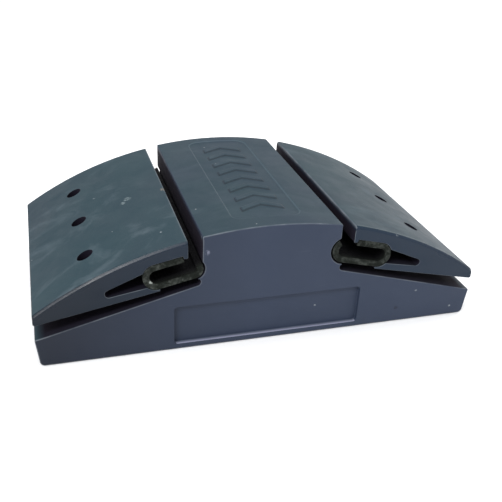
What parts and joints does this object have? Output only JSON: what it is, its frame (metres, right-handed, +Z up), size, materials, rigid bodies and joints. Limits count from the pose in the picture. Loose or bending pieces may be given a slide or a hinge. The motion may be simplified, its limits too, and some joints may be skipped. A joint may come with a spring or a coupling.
{
  "type": "speed bump",
  "caption": "Rubber speed bump module: solid centre block with two sprung ramp wings on C-section channels, wedge gaps below the wings and steel-bushed fixing holes.",
  "frame": {"origin": "centre of the flat bottom face that stands on the road", "axes": "+X across the bump, the way traffic crosses it; +Y along the bump, away from the end face that is seen first; +Z up"},
  "size_m": [0.3, 0.167, 0.084],
  "materials": {
    "block_rubber": "satin moulded rubber, dark slate blue-grey with fine flow marks",
    "wing_rubber": "satin moulded rubber, dark teal-grey with faint scuffs",
    "channel_plastic": "matt extrusion, dark olive, with sawn ends",
    "bush_steel": "zinc plated, dull"
  },
  "bodies": {
    "block": {"base_block": "block_rubber", "left_anchor_bush_1": "bush_steel", "left_anchor_bush_2": "bush_steel", "left_anchor_bush_3": "bush_steel", "right_anchor_bush_1": "bush_steel", "right_anchor_bush_2": "bush_steel", "right_anchor_bush_3": "bush_steel"},
    "left_wing": {"left_ramp_wing": "wing_rubber", "left_spring_channel": "channel_plastic"},
    "right_wing": {"right_ramp_wing": "wing_rubber", "right_spring_channel": "channel_plastic"}
  },
  "joints": [
    {"name": "left_wing_press", "type": "hinge", "parent": "block", "child": "left_wing", "pos_m": [-0.0518, 0, 0.0577], "axis": [0, -1, 0], "range_deg": [-3, 5.2], "stiffness_Nm_per_rad": 150},
    {"name": "right_wing_press", "type": "hinge", "parent": "block", "child": "right_wing", "pos_m": [0.0495, 0, 0.0606], "axis": [0, 1, 0], "range_deg": [-3.7, 4.5], "stiffness_Nm_per_rad": 150}
  ]
}
